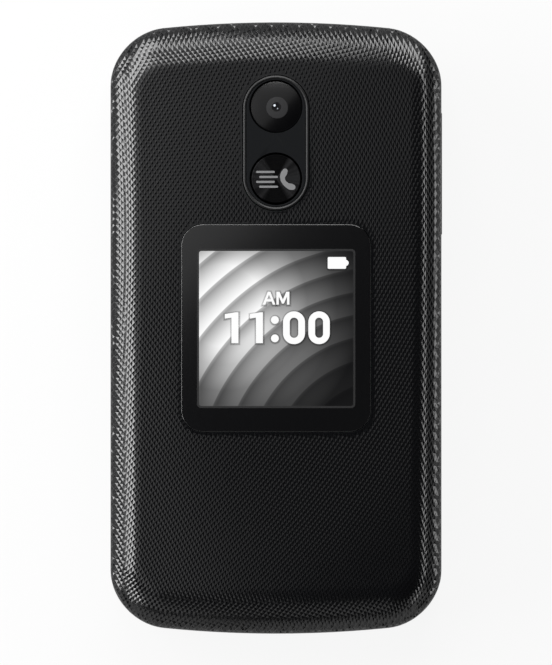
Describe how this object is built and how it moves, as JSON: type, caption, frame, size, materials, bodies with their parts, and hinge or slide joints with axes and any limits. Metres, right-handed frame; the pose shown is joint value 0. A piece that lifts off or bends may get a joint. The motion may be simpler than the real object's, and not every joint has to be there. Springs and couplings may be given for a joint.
{
  "type": "flip phone",
  "caption": "Closed folding mobile phone with a knurled lid, a small outer display, a round key and a keypad half hinged at one end.",
  "frame": {"origin": "middle of the outline, on the surface the phone lies on", "axes": "+Z from the back to the lid's face, +Y towards the hinge end, +X towards the volume rocker"},
  "size_m": [0.0591, 0.109, 0.019],
  "materials": {
    "knurled_shell": "satin black, fine diamond knurl",
    "dark_shell": "fine matt black",
    "dark_glass": "glossy black window",
    "display": "lit display",
    "trim": "matt with a thin bright rim",
    "lens_glass": "dark glass",
    "brushed_key": "radially brushed black",
    "key_cap": "satin key cap",
    "nav_metal": "spun aluminium ring",
    "board": "solder mask",
    "steel": "bright steel",
    "copper_flex": "polyimide film",
    "gold_contact": "gold plated",
    "soft_rubber": "matt rubber",
    "cell": "bare battery wrap",
    "black_part": "moulded black"
  },
  "bodies": {
    "keypad_half": {"base_front_housing": "dark_shell", "base_rear_housing": "dark_shell", "battery": "cell", "main_pcb": "board", "keypad_mat": "soft_rubber", "dome_sheet": "steel", "shield_can": "steel", "card_socket": "steel", "battery_contacts": "gold_contact", "usb_port": "steel", "headphone_jack": "black_part", "microphone": "steel", "vibration_motor": "steel", "loudspeaker": "steel", "volume_switches": "board", "base_screws": "steel", "hinge_can": "steel", "hinge_spring": "steel", "hinge_cam": "steel"},
    "lid": {"lid_outer_cover": "knurled_shell", "lid_inner_frame": "dark_shell", "main_display_window": "dark_glass", "main_display_module": "display", "sub_display_window": "dark_glass", "sub_display_module": "display", "camera_trim": "trim", "camera_window": "lens_glass", "camera_module": "black_part", "lid_pcb": "board", "earpiece": "steel", "earpiece_mesh": "steel", "lid_magnet": "steel", "lid_bumpers": "soft_rubber", "lid_screws": "steel", "lid_flex": "copper_flex", "hinge_shaft": "steel", "hinge_bushing": "steel"},
    "key_1": {"key_1": "key_cap"},
    "key_2": {"key_2": "key_cap"},
    "key_3": {"key_3": "key_cap"},
    "key_4": {"key_4": "key_cap"},
    "key_5": {"key_5": "key_cap"},
    "key_6": {"key_6": "key_cap"},
    "key_7": {"key_7": "key_cap"},
    "key_8": {"key_8": "key_cap"},
    "key_9": {"key_9": "key_cap"},
    "key_star": {"key_star": "key_cap"},
    "key_0": {"key_0": "key_cap"},
    "key_hash": {"key_hash": "key_cap"},
    "ok_key": {"ok_key": "key_cap"},
    "left_soft_key": {"left_soft_key": "key_cap"},
    "right_soft_key": {"right_soft_key": "key_cap"},
    "send_key": {"send_key": "key_cap"},
    "end_key": {"end_key": "key_cap"},
    "clear_key": {"clear_key": "key_cap"},
    "call_key": {"call_key": "brushed_key"},
    "nav_ring": {"nav_ring": "nav_metal"},
    "volume_rocker": {"volume_rocker": "black_part"},
    "battery_door": {"battery_door": "dark_shell"},
    "vibration_weight": {"vibration_weight": "steel"}
  },
  "joints": [
    {"name": "lid_hinge", "type": "hinge", "parent": "keypad_half", "child": "lid", "pos_m": [0, 0.0483, 0.0102], "axis": [-1, 0, 0], "range_deg": [0, 160]},
    {"name": "key_1_press", "type": "slide", "parent": "keypad_half", "child": "key_1", "axis": [0, 0, -1], "range_m": [0, 0.0003], "stiffness_N_per_m": 2000},
    {"name": "key_2_press", "type": "slide", "parent": "keypad_half", "child": "key_2", "axis": [0, 0, -1], "range_m": [0, 0.0003], "stiffness_N_per_m": 2000},
    {"name": "key_3_press", "type": "slide", "parent": "keypad_half", "child": "key_3", "axis": [0, 0, -1], "range_m": [0, 0.0003], "stiffness_N_per_m": 2000},
    {"name": "key_4_press", "type": "slide", "parent": "keypad_half", "child": "key_4", "axis": [0, 0, -1], "range_m": [0, 0.0003], "stiffness_N_per_m": 2000},
    {"name": "key_5_press", "type": "slide", "parent": "keypad_half", "child": "key_5", "axis": [0, 0, -1], "range_m": [0, 0.0003], "stiffness_N_per_m": 2000},
    {"name": "key_6_press", "type": "slide", "parent": "keypad_half", "child": "key_6", "axis": [0, 0, -1], "range_m": [0, 0.0003], "stiffness_N_per_m": 2000},
    {"name": "key_7_press", "type": "slide", "parent": "keypad_half", "child": "key_7", "axis": [0, 0, -1], "range_m": [0, 0.0003], "stiffness_N_per_m": 2000},
    {"name": "key_8_press", "type": "slide", "parent": "keypad_half", "child": "key_8", "axis": [0, 0, -1], "range_m": [0, 0.0003], "stiffness_N_per_m": 2000},
    {"name": "key_9_press", "type": "slide", "parent": "keypad_half", "child": "key_9", "axis": [0, 0, -1], "range_m": [0, 0.0003], "stiffness_N_per_m": 2000},
    {"name": "key_star_press", "type": "slide", "parent": "keypad_half", "child": "key_star", "axis": [0, 0, -1], "range_m": [0, 0.0003], "stiffness_N_per_m": 2000},
    {"name": "key_0_press", "type": "slide", "parent": "keypad_half", "child": "key_0", "axis": [0, 0, -1], "range_m": [0, 0.0003], "stiffness_N_per_m": 2000},
    {"name": "key_hash_press", "type": "slide", "parent": "keypad_half", "child": "key_hash", "axis": [0, 0, -1], "range_m": [0, 0.0003], "stiffness_N_per_m": 2000},
    {"name": "ok_key_press", "type": "slide", "parent": "keypad_half", "child": "ok_key", "axis": [0, 0, -1], "range_m": [0, 0.0003], "stiffness_N_per_m": 2000},
    {"name": "left_soft_key_press", "type": "slide", "parent": "keypad_half", "child": "left_soft_key", "axis": [0, 0, -1], "range_m": [0, 0.0003], "stiffness_N_per_m": 2000},
    {"name": "right_soft_key_press", "type": "slide", "parent": "keypad_half", "child": "right_soft_key", "axis": [0, 0, -1], "range_m": [0, 0.0003], "stiffness_N_per_m": 2000},
    {"name": "send_key_press", "type": "slide", "parent": "keypad_half", "child": "send_key", "axis": [0, 0, -1], "range_m": [0, 0.0003], "stiffness_N_per_m": 2000},
    {"name": "end_key_press", "type": "slide", "parent": "keypad_half", "child": "end_key", "axis": [0, 0, -1], "range_m": [0, 0.0003], "stiffness_N_per_m": 2000},
    {"name": "clear_key_press", "type": "slide", "parent": "keypad_half", "child": "clear_key", "axis": [0, 0, -1], "range_m": [0, 0.0003], "stiffness_N_per_m": 2000},
    {"name": "call_key_press", "type": "slide", "parent": "lid", "child": "call_key", "axis": [0, 0, -1], "range_m": [0, 0.0003], "stiffness_N_per_m": 2000},
    {"name": "nav_rock", "type": "hinge", "parent": "keypad_half", "child": "nav_ring", "pos_m": [0, 0.02, 0.0086], "axis": [1, 0, 0], "range_deg": [-1.2, 1.2], "stiffness_Nm_per_rad": 0.5},
    {"name": "volume_rock", "type": "hinge", "parent": "keypad_half", "child": "volume_rocker", "pos_m": [0.0276, 0.0275, 0.005], "axis": [0, 0, 1], "range_deg": [-1.2, 1.2], "stiffness_Nm_per_rad": 0.5},
    {"name": "door_slide", "type": "slide", "parent": "keypad_half", "child": "battery_door", "axis": [0, -1, 0], "range_m": [0, 0.004]},
    {"name": "motor_spin", "type": "hinge", "parent": "keypad_half", "child": "vibration_weight", "pos_m": [0.009, 0.03, 0.0041], "axis": [1, 0, 0], "continuous": true}
  ]
}
